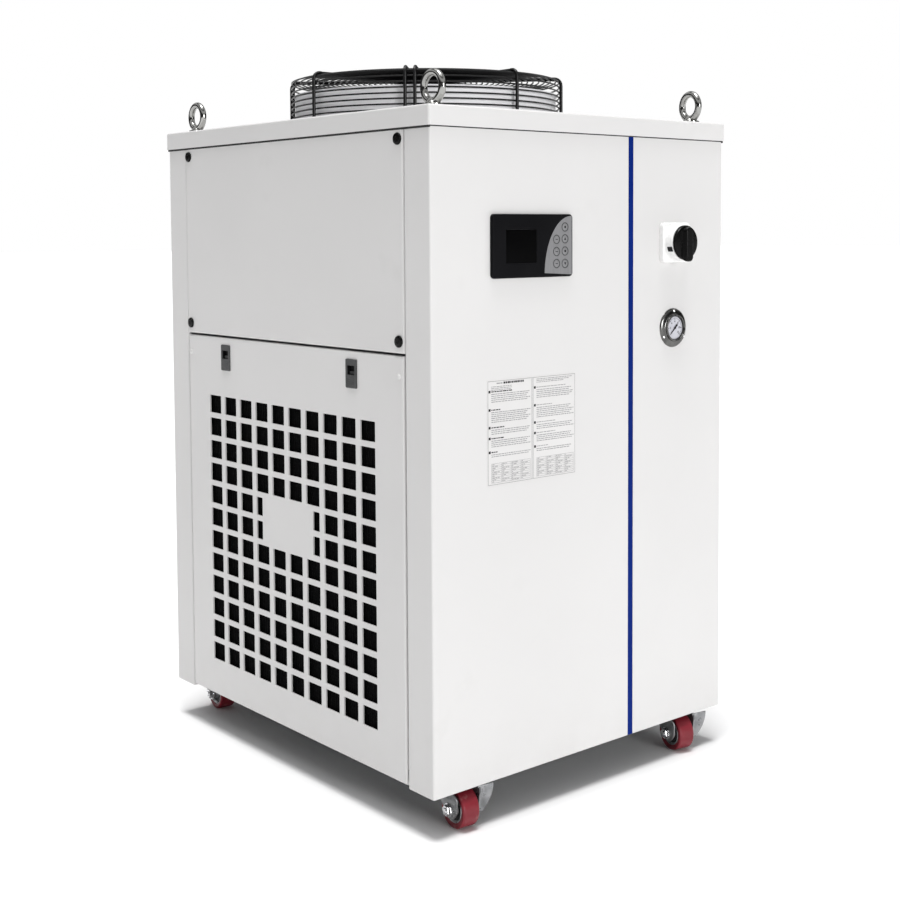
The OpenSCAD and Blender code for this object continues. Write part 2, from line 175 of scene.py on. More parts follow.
RED = material("red_tread", (0.16, 0.009, 0.017), (0.22, 0.017, 0.028), (0.30, 0.46), scale=26.0, bump=(420.0, 0.12, 0.0005), spec=0.3,
               scuff=(60.0, (0.27, 0.12, 0.12), 0.60, 0.45))
RUBBER = material("black_rubber", (0.012, 0.012, 0.012), (0.022, 0.022, 0.022), (0.6, 0.8), scale=40.0, bump=(600.0, 0.15, 0.0005))
DARKHOLE = material("dark_pocket", (0.008, 0.008, 0.009), (0.016, 0.016, 0.017), (0.5, 0.7), scale=60.0, bump=(900.0, 0.1, 0.0003), spec=0.1)
GALV = material("dark_galvanised", (0.13, 0.135, 0.14), (0.21, 0.215, 0.22), (0.45, 0.62), metallic=0.55, scale=12.0, bump=(220.0, 0.1, 0.0005),
                cells=(90.0, (0.26, 0.265, 0.27), 0.5))


# ------------------------------------------------------------------ shape tools (millimetres)
def rr(x0, x1, y0, y1, r, n=4):
    """Rounded rectangle, anticlockwise."""
    out = []
    for cx, cy, a in ((x1 - r, y0 + r, -90), (x1 - r, y1 - r, 0), (x0 + r, y1 - r, 90), (x0 + r, y0 + r, 180)):
        for i in range(n + 1):
            t = rad(a + 90.0 * i / n)
            out.append((cx + r * cos(t), cy + r * sin(t)))
    return out


def circ(cx, cy, r, n=64, a0=0.0):
    return [(cx + r * cos(a0 + 2 * PI * i / n), cy + r * sin(a0 + 2 * PI * i / n)) for i in range(n)]


def area2(p):
    return sum(a[0] * b[1] - b[0] * a[1] for a, b in zip(p, p[1:] + p[:1]))


def grow(pts, d):
    """Outline moved outwards by d, mitred."""
    if abs(d) < 1e-9:
        return list(pts)
    s = 1.0 if area2(pts) > 0 else -1.0
    out, k = [], len(pts)
    for i in range(k):
        a, b, c = pts[i - 1], pts[i], pts[(i + 1) % k]
        e = Vector((b[0] - a[0], b[1] - a[1])).normalized()
        f = Vector((c[0] - b[0], c[1] - b[1])).normalized()
        n1, n2 = Vector((e.y, -e.x)) * s, Vector((f.y, -f.x)) * s
        w = n1 + n2
        w = w / max(0.35, w.length_squared / 2) if w.length > 1e-6 else n1
        out.append((b[0] + w.x * d, b[1] + w.y * d))
    return out


def arc_chain(r, wall, n=4):
    """Edge rounding of radius r from a front face over to a wall that reaches depth wall."""
    return [(-r + r * sin(rad(90.0 * i / n)), r - r * cos(rad(90.0 * i / n))) for i in range(n + 1)] + ([(0.0, wall)] if wall > r + 1e-6 else [])


class Build:
    """Gathers parts of one mesh, in millimetres in the row frame."""

    def __init__(self):
        self.v, self.f, self.m = [], [], []

    def add(self, part, mat=0, at=None):
        verts, faces = part
        k = len(self.v)
        if at is not None:
            verts = [tuple(at @ Vector(p)) for p in verts]
        self.v += [tuple(p) for p in verts]
        self.f += [tuple(i + k for i in f) for f in faces]
        self.m += [mat] * len(faces)
        return self

    def done(self, name, body, mats, slot, replaces=(), sharp=38.0, weighted=True):
        me = bpy.data.meshes.new(name)
        me.from_pydata([(x * MM, y * MM, z * MM) for x, y, z in self.v], [], self.f)
        for m in mats if isinstance(mats, (list, tuple)) else [mats]:
            me.materials.append(m)
        me.polygons.foreach_set("material_index", self.m)
        bm = bmesh.new()
        bm.from_mesh(me)
        bmesh.ops.remove_doubles(bm, verts=bm.verts[:], dist=1e-7)
        bmesh.ops.dissolve_degenerate(bm, edges=bm.edges[:], dist=1e-7)
        bmesh.ops.recalc_face_normals(bm, faces=bm.faces[:])
        for f in bm.faces:
            f.smooth = True
        limit = rad(sharp)
        for e in bm.edges:
            e.smooth = not (len(e.link_faces) == 2 and e.calc_face_angle(0.0) > limit)
        bm.to_mesh(me)
        bm.free()
        o = bpy.data.objects.new(name, me)
        bpy.context.scene.collection.objects.link(o)
        if weighted:
            w = o.modifiers.new("face_normals", "WEIGHTED_NORMAL")
            w.keep_sharp = True
            w.weight = 80
        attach(o, body)
        if replaces:
            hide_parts(*replaces)
        return o


def box(lo, hi):
    v = [(x, y, z) for x in (lo[0], hi[0]) for y in (lo[1], hi[1]) for z in (lo[2], hi[2])]
    return v, [(0, 1, 3, 2), (4, 6, 7, 5), (0, 4, 5, 1), (2, 3, 7, 6), (0, 2, 6, 4), (1, 5, 7, 3)]


def rbox(lo, hi, r, seg=2):
    bm = bmesh.new()
    bmesh.ops.create_cube(bm, size=1.0)
    for v in bm.verts:
        v.co = Vector([(lo[i] + hi[i]) / 2 + v.co[i] * (hi[i] - lo[i]) for i in range(3)])
    bmesh.ops.bevel(bm, geom=bm.edges[:], offset=r, segments=seg, profile=0.5, affect="EDGES")
    bm.verts.index_update()
    out = [v.co[:] for v in bm.verts], [[v.index for v in f.verts] for f in bm.faces]
    bm.free()
    return out


def stack(loops, cap0=True, cap1=True):
    """Skin over loops of equal length, with flat ends."""
    v, f, k = [], [], len(loops[0])
    for loop in loops:
        v += loop
    for j in range(len(loops) - 1):
        for i in range(k):
            a, b = j * k + i, j * k + (i + 1) % k
            f.append((a, b, b + k, a + k))
    if cap0:
        f.append(tuple(range(k - 1, -1, -1)))
    if cap1:
        f.append(tuple(range((len(loops) - 1) * k, len(loops) * k)))
    return v, f


def extrude(outline, a0, a1, bev, put):
    """Outline carried from a0 to a1 with small rounded ends; put places (outline point, height)."""
    lv = [(a0, -bev), (a0 + 0.3 * bev, -0.3 * bev), (a0 + bev, 0.0), (a1 - bev, 0.0), (a1 - 0.3 * bev, -0.3 * bev), (a1, -bev)] if bev else [(a0, 0), (a1, 0)]
    return stack([[put(p, a) for p in grow(outline, g)] for a, g in lv])


def plate(outer, holes, chain, hchain, put):
    """Flat plate: chain and hchain give the rims as (outward move, depth) from the front face round to the back face."""
    v, f = [], []

    def rim(loop, ch):
        ids = []
        for g, d in ch:
            pts = grow(loop, g)
            ids.append(range(len(v), len(v) + len(pts)))
            v.extend(put(p, d) for p in pts)
        for a, b in zip(ids, ids[1:]):
            k = len(a)
            for i in range(k):
                f.append((a[i], a[(i + 1) % k], b[(i + 1) % k], b[i]))
        return (ids[0], grow(loop, ch[0][0])), (ids[-1], grow(loop, ch[-1][0]))

    rims = [rim(outer, chain)] + [rim(h, hchain) for h in holes]
    for side in (0, 1):
        pts, ids, edges = [], [], []
        for r in rims:
            k0, k = len(pts), len(r[side][1])
            pts += [Vector(p) for p in r[side][1]]
            ids += list(r[side][0])
            edges += [(k0 + i, k0 + (i + 1) % k) for i in range(k)]
        if len(rims) == 1:
            f.append(tuple(ids))
            continue
        loop_of = [j for j, r in enumerate(rims) for _ in r[side][0]]
        res = delaunay_2d_cdt(pts, edges, [], 1, 1e-6)
        back = [o[0] for o in res[3]]
        for t in res[2]:
            near = {loop_of[back[i]] for i in t}
            if len(near) > 1 or 0 in near:
                f.append(tuple(ids[back[i]] for i in t))
    return v, f


TRAY = arc_chain(4.0, 7.0) + [(-2.0, 7.0), (-2.0, 4.0), (-2.6, 2.6), (-4.0, 2.0)]


def lathe(prof, n=48, closed=False):
    """Profile of (radius, height) turned about Z."""
    v, f, rows = [], [], []
    for r, h in prof:
        if r < 1e-6:
            rows.append([len(v)])
            v.append((0.0, 0.0, h))
        else:
            rows.append(list(range(len(v), len(v) + n)))
            v += [(r * cos(2 * PI * i / n), r * sin(2 * PI * i / n), h) for i in range(n)]
    pairs = list(zip(rows, rows[1:])) + ([(rows[-1], rows[0])] if closed else [])
    for a, b in pairs:
        for i in range(n):
            j = (i + 1) % n
            if len(a) == 1 and len(b) == 1:
                continue
            if len(a) == 1:
                f.append((a[0], b[i], b[j]))
            elif len(b) == 1:
                f.append((a[i], a[j], b[0]))
            else:
                f.append((a[i], a[j], b[j], b[i]))
    if not closed:
        for row in (rows[0], rows[-1]):
            if len(row) > 1:
                f.append(tuple(row))
    return v, f


def tube(path, r, n=8, closed=False):
    """Round wire along a path."""
    P = [Vector(p) for p in path]
    k = len(P)
    T = []
    for i in range(k):
        a = P[i - 1] if (closed or i) else P[i]
        b = P[(i + 1) % k] if (closed or i < k - 1) else P[i]
        T.append((b - a).normalized())
    ref = Vector((0, 0, 1)) if abs(T[0].z) < 0.9 else Vector((1, 0, 0))
    u = (ref - T[0] * ref.dot(T[0])).normalized()
    loops = []
    for i in range(k):
        u = (u - T[i] * u.dot(T[i])).normalized()
        w = T[i].cross(u)
        loops.append([tuple(P[i] + (u * cos(2 * PI * j / n) + w * sin(2 * PI * j / n)) * r) for j in range(n)])
    if closed:
        v, f = stack(loops + [loops[0]], False, False)
        return v[: k * n], [tuple(i % (k * n) for i in q) for q in f]
    return stack(loops)


def ring(cx, cy, z, r, w, n=96, m=8):
    return tube([(cx + r * cos(2 * PI * i / n), cy + r * sin(2 * PI * i / n), z) for i in range(n)], w, m, True)


def frame_at(origin, axis, up=(0, 0, 1)):
    """Matrix whose Z axis is axis, at origin."""
    z = Vector(axis).normalized()
    u = Vector(up) if abs(z.dot(Vector(up))) < 0.95 else Vector((1, 0, 0))
    x = (u - z * u.dot(z)).normalized()
    y = z.cross(x)
    return Matrix(((x.x, y.x, z.x, origin[0]), (x.y, y.y, z.y, origin[1]), (x.z, y.z, z.z, origin[2]), (0, 0, 0, 1)))


def hexa(rc, h0, h1, chamfer=0.8):
    """Hexagonal nut body about Z with chamfered corners."""
    lo = [(rc * 0.93 * cos(rad(60 * i)), rc * 0.93 * sin(rad(60 * i))) for i in range(6)]
    hi = [(rc * cos(rad(60 * i)), rc * sin(rad(60 * i))) for i in range(6)]
    return stack([[(*p, h0) for p in lo], [(*p, h0 + chamfer) for p in hi], [(*p, h1 - chamfer) for p in hi], [(*p, h1) for p in lo]])


def bent(path, t, radii, lead=0.0, n=5):
    """Section of bent sheet: outer path with rounded bends, thickness t to its right-hand side as it runs."""
    outer, inner, k = [], [], len(path)
    P = [Vector(p) for p in path]

    def side(d):
        return Vector((d.y, -d.x))

    for i in range(k):
        if i in (0, k - 1):
            d = (P[1] - P[0]).normalized() if i == 0 else (P[-1] - P[-2]).normalized()
            if i == 0 and lead:
                c = P[0] + d * lead + side(d) * lead
                outer += [tuple(c - d * lead * cos(rad(90.0 * j / 4)) - side(d) * lead * sin(rad(90.0 * j / 4))) for j in range(5)]
            else:
                outer.append(tuple(P[i]))
            inner.append(tuple(P[i] + side(d) * t))
            continue
        d0, d1 = (P[i] - P[i - 1]).normalized(), (P[i + 1] - P[i]).normalized()
        r = radii
        c = P[i] - d0 * r + side(d0) * r
        for j in range(n + 1):
            a = rad(90.0 * j / n)
            q = -side(d0) * cos(a) + d0 * sin(a)
            outer.append(tuple(c + q * r))
            inner.append(tuple(c + q * (r - t)))
    return outer + inner[::-1]


# ------------------------------------------------------------------ cabinet
XY = lambda p, z: (p[0], p[1], z)


def corner_panel(x_edge, flip):
    """Front panel that wraps round a corner, with a rounded free edge and a fold at the end of the corner strip."""
    path = [(x_edge, -HD), (-HW, -HD), (-HW, -HD + 60.2), (-HW + 7, -HD + 60.2)]
    o = bent(path, 2.0, 3.2, lead=1.4)
    v, f = extrude(o, ZB, ZT - 2.2, 0.5, XY)
    return ([(-x, y, z) for x, y, z in v], f) if flip else (v, f)


b = Build().add(corner_panel(90.5, False))
b.done("front_panel_skin", "cabinet", WHITE, "white_paint", ["front_main_panel"])
b = Build().add(corner_panel(-101.5, True))
b.done("service_panel_skin", "cabinet", WHITE, "white_paint", ["front_service_panel"])
b = Build().add(extrude(bent([(HW - 7, HD - 60.2), (HW, HD - 60.2), (HW, HD), (-HW, HD), (-HW, HD - 60.2), (-HW + 7, HD - 60.2)][::-1], 2.0, 3.2), ZB, ZT - 2.2, 0.5, XY))
b.done("back_panel_skin", "cabinet", WHITE, "white_paint", ["back_panel"])

roof_rim = arc_chain(3.0, 29.4) + [(-0.3, 30.0), (-1.7, 30.0), (-2.0, 29.4), (-2.0, 3.4), (-2.7, 2.0)]
b = Build().add(plate(rr(-HW - 3.5, HW + 3.5, -HD - 3.5, HD + 3.5, 4.5, 6), [circ(0, FY, 231.3, 128)], roof_rim,
                      [(0.6, 0.0), (0.18, 0.18), (0.0, 0.6), (0.0, 2.0)], lambda p, d: (p[0], p[1], ZT - d)))
b.done("roof_skin", "cabinet", WHITE, "white_paint", ["roof_cap"])

for side, sx in (("left", -1), ("right", 1)):
    put = lambda p, d, sx=sx: (sx * (PX - d), p[0], p[1])
    z0, z1 = ZS + 1.0, ZT - 4.0
    b = Build().add(plate([(-PHW, z0), (PHW, z0), (PHW, z1), (-PHW, z1)], [], TRAY, [], put))
    b.done(side + "_upper_skin", "cabinet", WHITE, "white_paint", [side + "_upper_panel"])

# black band in the joint under the skirt of the cap, a painted shadow: it stands in for the shade the skirt throws on
# the panels below it
b = Build()
for sx in (-1, 1):
    x0, x1 = sorted((sx * (HW - 0.6), sx * (HW + 1.4)))
    b.add(rbox((x0, -HD - 1.2, ZT - 33.2), (x1, HD + 1.2, ZT - 28.5), 0.4, 2))
for sy in (-1, 1):
    y0, y1 = sorted((sy * (HD - 0.6), sy * (HD + 1.2)))
    b.add(rbox((-HW + 0.7, y0, ZT - 31.6), (HW - 0.7, y1, ZT - 28.5), 0.4, 2))
b.done("cap_shadow_band", "cabinet", RUBBER, "black_paint")

# thumb screws with a turned head and a cross recess
b = Build()
head = [(0, -0.6), (6.6, -0.6), (8.2, 0.1), (9.0, 1.2), (9.0, 3.9), (0, 3.9)]
for sx in (-1, 1):
    for y in (-305, 305):
        for z in (ZB + 669, ZB + 966):
            at = frame_at((sx * PX, y, z), (sx, 0, 0)) @ Matrix.Translation((0, 0, 2.9)) @ Matrix.Rotation(PI, 4, "X")
            b.add(lathe([(0, 0.9), (2.6, 0.9), (3.4, 0.0), (7.0, 0.0), (8.4, 0.5), (9.0, 1.6), (9.0, 3.95), (0, 3.95)], 40), 0, at)
            for k in range(2):
                b.add(rbox((-2.9, -0.6, 0.35), (2.9, 0.6, 0.92), 0.12, 1), 0, at @ Matrix.Rotation(k * PI / 2 + 0.4, 4, "Z"))
b.done("thumb_screws", "cabinet", KNOB, "black_plastic", ["panel_screws"])

# ------------------------------------------------------------------ side doors
COLS, ROWS, PW, PH, GW, GH = 10, 12, 50.0, 40.4, 38.0, 31.5
GY0, GZ0 = -244.0, ZB + 68.0


def grille_holes():
    out = []
    for c in range(COLS):
        for r in range(ROWS):
            mid = r in (ROWS - 5, ROWS - 6)
            if mid and c in (4, 5):
                continue
            y0, y1 = GY0 + c * PW, GY0 + c * PW + GW
            y0 += GW / 2 if (mid and c == 6) else 0
            y1 -= GW / 2 if (mid and c == 3) else 0
            out.append(rr(y0, y1, GZ0 + r * PH, GZ0 + r * PH + GH, 1.2, 2))
    return out


for side, sx in (("left", -1), ("right", 1)):
    body = side + "_filter_door"
    put = lambda p, d, sx=sx: (sx * (PX - (d if p[1] > DZ0 + 24 else min(d, 3.0))), p[0], p[1])
    edge = [(-DHW, DZ0), (DHW, DZ0), (DHW, DZ0 + 20), (DHW, DZ0 + 28), (DHW, DZ1), (-DHW, DZ1), (-DHW, DZ0 + 28), (-DHW, DZ0 + 20)]
    slots = [rr(s * 186 - 11.5, s * 186 + 11.5, ZB + 593.5, ZB + 632.5, 1.0, 2) for s in (-1, 1)]
    b = Build().add(plate(edge, grille_holes() + slots, TRAY,
                          [(0.45, 0.0), (0.13, 0.13), (0.0, 0.45), (0.0, 3.0)], put))
    for y in (-303.5, 306.0):
        b.add(lathe([(4.6, -0.2), (4.6, 0.5), (4.0, 1.5), (2.6, 2.2), (0, 2.5)], 24), 0, frame_at((sx * PX, y, ZB + 617.5), (sx, 0, 0)))
    for s in (-1, 1):
        b.add(lathe([(1.55, -16), (3.0, -16), (3.0, 16), (1.55, 16)], 24, True), 0, frame_at((sx * (HW - 5.5), s * 210, ZB + 9), (0, 1, 0)))
        x0, x1 = sorted((sx * (HW - 2.0), sx * (HW - 3.4)))
        b.add(box((x0, s * 210 - 16, ZB + 7.4), (x1, s * 210 + 16, ZB + 10.6)))
    b.done(side + "_door_skin", body, WHITE, "white_paint", [side + "_door"])

    # slide latches
    b = Build()
    for s in (-1, 1):
        lput = lambda p, d, sx=sx: (sx * (HW + 3.6 - d), p[0], p[1])
        y = s * 186
        b.add(plate(rr(y - 14, y + 14, ZB + 590.5, ZB + 635.5, 2.0, 3), [rr(y - 9.5, y + 9.5, ZB + 611, ZB + 625.5, 1.0, 2)], arc_chain(1.0, 3.0, 3),
                    [(0.5, 0.0), (0.0, 0.5), (0.0, 3.0)], lput))
        # pocket behind the opening
        v, f = stack([[lput(p, d) for p in rr(y - g, y + g, ZB + 611 - (g - 9.5), ZB + 625.5 + (g - 9.5), 1.0, 2)] for g, d in ((9.5, 3.0), (9.5, 8.0))], False, True)
        b.add((v, f), 1)
        # finger slide in the pocket and grip ribs under it
        b.add(rbox(*[tuple(sorted((sx * (HW - 4.5), sx * (HW - 1.0))) [k] if i == 0 else (y - 8.8 + 17.6 * k, ZB + 611.4 + 5.0 * k)[i - 1] for i in range(3)) for k in (0, 1)], 0.5, 2), 0)
        for k in range(4):
            x0, x1 = sorted((sx * (HW + 3.2), sx * (HW + 3.95)))
            b.add(rbox((x0, y - 8.5, ZB + 595.2 + 3.4 * k), (x1, y + 8.5, ZB + 596.8 + 3.4 * k), 0.35, 2), 0)
    b.done(side + "_latch_shells", body, [LATCH, DARKHOLE], "latch_grey", [side + "_door_latches"])

    # dust filter: frame bars, woven mesh and a backing
    b = Build()
    x0, x1 = sorted((sx * (HW - 2.05), sx * (HW - 9.8)))
    ya, yb_, za, zb_ = -264.0, 264.0, ZB + 50.0, ZB + 557.5
    for lo, hi in (((ya, za), (yb_, za + 9)), ((ya, zb_ - 9), (yb_, zb_)), ((ya, za + 9.2), (ya + 9, zb_ - 9.2)), ((yb_ - 9, za + 9.2), (yb_, zb_ - 9.2))):
        b.add(rbox((x0, lo[0], lo[1]), (x1, hi[0], hi[1]), 0.8, 2), 0)
    xm = sx * (HW - 5.0)
    y = ya + 12
    while y < yb_ - 9:
        b.add(box((xm - 0.45, y - 0.45, za + 8), (xm + 0.45, y + 0.45, zb_ - 8)), 0)
        y += 6.0
    z = za + 12
    while z < zb_ - 9:
        b.add(box((xm - sx * 0.9 - 0.45, ya + 8, z - 0.45), (xm - sx * 0.9 + 0.45, yb_ - 8, z + 0.45)), 0)
        z += 6.0
    x0, x1 = sorted((sx * (HW - 7.0), sx * (HW - 8.6)))
    b.add(box((x0, ya + 8.5, za + 8.5), (x1, yb_ - 8.5, zb_ - 8.5)), 0)
    b.done(side + "_filter_mesh", body, MESHBLACK, "filter_mesh", [side + "_dust_filter"], weighted=False)

    # condenser behind it: finned block, end plates and straight tube runs
    b = Build()
    xa, xb = sorted((sx * (HW - 42.0), sx * (HW - 73.0)))
    for k in range(109):
        y = -270 + k * 5.0
        b.add(box((xa, y - 0.25, FZ + 6), (xb, y + 0.25, ZS - 23)), 0)
    xa, xb = sorted((sx * (HW - 40.0), sx * (HW - 75.0)))
    for s in (-1, 1):
        b.add(rbox((xa, s * 277 - 1.5, FZ + 3.2), (xb, s * 277 + 1.5, ZS - 20), 0.5, 1), 0)
    for z in (FZ + 3.2, ZS - 22):
        b.add(rbox((xa, -275, z), (xb, 275, z + 2), 0.4, 1), 0)
    for k in range(12):
        z = FZ + 30 + k * 48.0
        for q in (49.0, 66.0):
            b.add(tube([(sx * (HW - q), -274.5, z), (sx * (HW - q), 274.5, z)], 4.5, 12), 1)
    b.done(side + "_coil", "cabinet", [FINS, COPPER], "black_fins", [side + "_condenser"], weighted=False)

# ------------------------------------------------------------------ fan
b = Build().add(lathe([(229, ZT - 40), (231, ZT - 40), (231, ZT + 52.5), (232.0, ZT + 54.0), (233.6, ZT + 54.2), (234.0, ZT + 55.4), (233.4, ZT + 56.8), (231.5, ZT + 57.0), (229.6, ZT + 56.0), (229, ZT + 53.5)], 128, True), 0, Matrix.Translation((0, FY, 0)))
b.done("fan_drum", "cabinet", DRUM, "grey_paint", ["fan_ring"])

RIBS = [(90.0 * k, 0.0) for k in range(4)] + [(90.0 * k + 45, s * 8.0) for k in range(4) for s in (-1, 1)]
b = Build()
for k in range(9):
    b.add(ring(0, FY, ZT + 7.0 + 9.1 * k, 237.0, 1.4, 120, 8))
for a, off in RIBS:
    rot = Matrix.Translation((0, FY, ZT)) @ Matrix.Rotation(rad(a), 4, "Z")
    path = [(240.6, off, 0.3), (240.6, off, 40), (240.6, off, 74)]
    path += [(229.1 + 11.5 * cos(rad(t)), off, 74 + 11.5 * sin(rad(t))) for t in range(15, 91, 15)]
    path += [(225.0, off, 85.5)]
    b.add(tube(path, 2.9, 12), 0, rot)
for k in range(4):
    rot = Matrix.Translation((0, FY, ZT)) @ Matrix.Rotation(rad(90 * k + 45), 4, "Z")
    b.add(rbox((236.4, -17, 0.05), (262, 17, 2.2), 0.6, 2), 0, rot)
    for s in (-1, 1):
        b.add(lathe([(0, 0), (6.2, 0), (6.2, 1.0), (5.4, 1.4), (0, 1.4)], 24), 1, rot @ Matrix.Translation((253.5, s * 9, 2.2)))
        b.add(hexa(5.0, 0, 3.6, 0.5), 1, rot @ Matrix.Translation((253.5, s * 9, 3.6)))
b.done("guard_basket", "cabinet", [WIRE, ZINC], "black_paint", ["guard_side"])

b = Build()
for k in range(18):
    b.add(ring(0, FY, ZT + 81.6, 231.5 - 10.0 * k, 1.3, max(40, 120 - 5 * k), 8))
for a, off in RIBS:
    rot = Matrix.Translation((0, FY, ZT)) @ Matrix.Rotation(rad(a), 4, "Z")
    b.add(tube([(224.9, off, 85.5), (150, off, 85.5), (100, off, 85.5), (44, off, 85.4)], 2.45, 12), 0, rot)
b.add(lathe([(0, 80.4), (54.6, 80.4), (56, 81.2), (56, 82.6), (54.8, 83.2), (40, 83.4), (38, 84.6), (0, 84.6)], 64), 0, Matrix.Translation((0, FY, ZT)))
for k in range(4):
    rot = Matrix.Translation((0, FY, ZT)) @ Matrix.Rotation(rad(90 * k + 20), 4, "Z")
    b.add(hexa(5.2, 84.6, 87.4, 0.5), 1, rot @ Matrix.Translation((28, 0, 0)))
b.done("guard_grid", "cabinet", [WIRE, ZINC], "black_paint", ["guard_top"])

b = Build().add(lathe([(8.2, 59.2), (36, 59.2), (40, 61), (40, 72.4), (43, 73.2), (50.5, 73.2), (52, 74.6), (52, 79.2), (50.8, 80.2), (8.2, 80.2)], 64, True), 0, Matrix.Translation((0, FY, ZT)))
for k in range(16):
    rot = Matrix.Translation((0, FY, ZT)) @ Matrix.Rotation(rad(22.5 * k), 4, "Z")
    b.add(rbox((39.4, -1.2, 62), (44.5, 1.2, 73), 0.4, 1), 0, rot)
b.done("motor_shell", "cabinet", FANBLACK, "black_paint", ["fan_motor"])

b = Build().add(lathe([(0, 8.4), (50, 8.4), (57, 10.5), (60, 16), (60, 46), (57.5, 51.5), (50, 54), (14, 54), (12, 56.5), (8, 57), (8, 73.5), (7, 74.5), (0, 74.5)], 64), 0, Matrix.Translation((0, FY, ZT)))
for k in range(5):
    loops = []
    for i in range(15):
        r = 57.0 + (219.5 - 57.0) * i / 14.0
        q = i / 14.0
        half = 27.0 + 31.0 * sin(0.25 + 1.25 * q)
        pitch = rad(33.0 - 15.0 * q)
        sweep = -0.16 * q * q
        lower, upper = [], []
        for j in range(9):
            s = -1 + 2 * j / 8.0
            ang = sweep + s * half * cos(pitch) / r
            zc = 29.5 + s * half * sin(pitch) * 0.66 + 4.0 * (1 - s * s)
            th = 1.5 * (1 - 0.75 * s * s) + 0.35
            lower.append((r * cos(ang), r * sin(ang), zc - th))
            upper.append((r * cos(ang), r * sin(ang), zc + th))
        loops.append(lower + upper[::-1])
    b.add(stack(loops), 0, Matrix.Translation((0, FY, ZT)) @ Matrix.Rotation(rad(72 * k), 4, "Z"))
b.done("rotor_blades", "fan", FANBLACK, "black_paint", ["fan_rotor"])

# ------------------------------------------------------------------ lifting eyes
for name, sx, sy, turn in (("front_left", -1, -1, 0), ("front_right", 1, -1, -10), ("back_left", -1, 1, 0), ("back_right", 1, 1, 6)):
    at = Matrix.Translation((sx * (HW - 38), sy * (HD - 38), ZT)) @ Matrix.Rotation(rad(turn), 4, "Z")
    b = Build().add(lathe([(0, 0.05), (14.2, 0.05), (15, 0.8), (15, 4.2), (14.4, 4.9), (12.0, 5.6), (9.6, 7.4), (8.6, 10.0), (8.0, 12.5), (0, 12.5)], 48), 0, at)
    loops = []
    for i in range(72):
        t = 2 * PI * i / 72
        low = max(0.0, -sin(t)) ** 3
        w, d = 5.75 + 0.6 * low, 5.5 + 1.2 * low
        c = Vector((0, cos(t), sin(t)))
        loops.append([tuple(Vector((0, 0, 29)) + c * (21.2 + w * cos(2 * PI * j / 20)) + Vector((d * sin(2 * PI * j / 20), 0, 0))) for j in range(20)])
    v, f = stack(loops + [loops[0]], False, False)
    b.add((v[: 72 * 20], [tuple(i % (72 * 20) for i in q) for q in f]), 0, at)
    b.done("eye_" + name, "cabinet", EYESTEEL, "bright_steel", ["lifting_eye_" + name])

# ------------------------------------------------------------------ controller
FR = lambda y: (lambda p, d: (p[0], -HD + y + d, p[1]))
b = Build().add(plate(rr(-208.5, -42.5, ZB + 760, ZB + 856, 6, 6), [rr(-181.5, -119.5, ZB + 782.5, ZB + 832.5, 1.0, 2)], arc_chain(1.6, 5.95),
                      [(0.4, 0.0), (0.0, 0.4), (0.0, 5.95)], FR(-6.0)))
b.done("controller_bezel", "cabinet", BLACK, "black_plastic", ["controller_housing"])
b = Build().add(plate(rr(-181.4, -119.6, ZB + 782.6, ZB + 832.4, 0.9, 2), [], [(-0.3, 0.0), (0.0, 0.3), (0.0, 1.0)], [], FR(-5.2)))
b.done("controller_window", "cabinet", SCREEN, "screen", ["controller_screen"])
field = [(-45, ZB + 763)] + [(-45, ZB + 853.5)] + [(-45 - 58 * cos(rad(t)), ZB + 763 + 90.5 * sin(rad(t))) for t in range(86, -1, -4)]
b = Build().add(plate(field, [], [(-0.35, 0.0), (-0.1, 0.1), (0.0, 0.35), (0.0, 0.45)], [], FR(-6.45)))
keys = [(-59.8, z) for z in (836.3, 818.1, 799.3, 780.2)] + [(-77.9, z) for z in (817.4, 798.7, 780.3)]
for i, (x, z) in enumerate(keys):
    at = frame_at((x, -HD - 6.42, ZB + z), (0, -1, 0))
    b.add(lathe([(5.7, 0), (7.2, 0), (7.1, 0.45), (6.5, 0.62), (5.9, 0.45)], 36, True), 1, at)
    b.add(lathe([(0, 0.42), (3.6, 0.36), (5.2, 0.16), (5.5, 0.0), (0, 0.0)], 32), 0, at)
    up = Matrix.Translation((0, 0, 0.36))
    if i in (0, 2):
        b.add(lathe([(0, 0), (1.9, 0), (1.9, 0.12), (0, 0.12)], 20), 2, at @ up)
    elif i in (1, 3):
        s = 1 if i == 1 else -1
        tri = [(s * 2.4, 0), (-s * 1.6, 2.2), (-s * 1.6, -2.2)]
        b.add(stack([[(*p, 0.0) for p in tri], [(*p, 0.12) for p in tri]]), 2, at @ up)
    else:
        b.add(box((-0.5, -2.6, 0), (0.5, 2.6, 0.12)), 2, at @ up)
b.done("controller_keys", "cabinet", [SILVER, LATCH, INK], "silver_film", ["controller_keypad"])

# ------------------------------------------------------------------ rotary switch
b = Build().add(plate(rr(DIAL - 34, DIAL + 34, SWZ - 33, SWZ + 33, 8, 6), [], arc_chain(2.4, 8.95), [], FR(-9.0)))
b.add(lathe([(0, 8.8), (32.6, 8.8), (31.2, 10.2), (30.4, 12.2), (30.0, 15), (29.8, 22.7), (29.0, 23.7), (27.8, 24.0), (6.3, 24.0), (6.3, 13.4), (0, 13.4)], 72), 0, frame_at((DIAL, -HD, SWZ), (0, -1, 0)))
v, f = rbox((-0.9, -5.0, -4.2), (0.9, 5.0, 4.2), 0.5, 2)
b.add((v, f), 1, Matrix.Translation((DIAL - 29.75 * cos(rad(21)), -HD - 18.4, SWZ - 29.75 * sin(rad(21)))) @ Matrix.Rotation(-rad(21), 4, "Y"))
b.done("switch_body", "cabinet", [PALEWHITE, INK], "white_plastic", ["switch_base"])

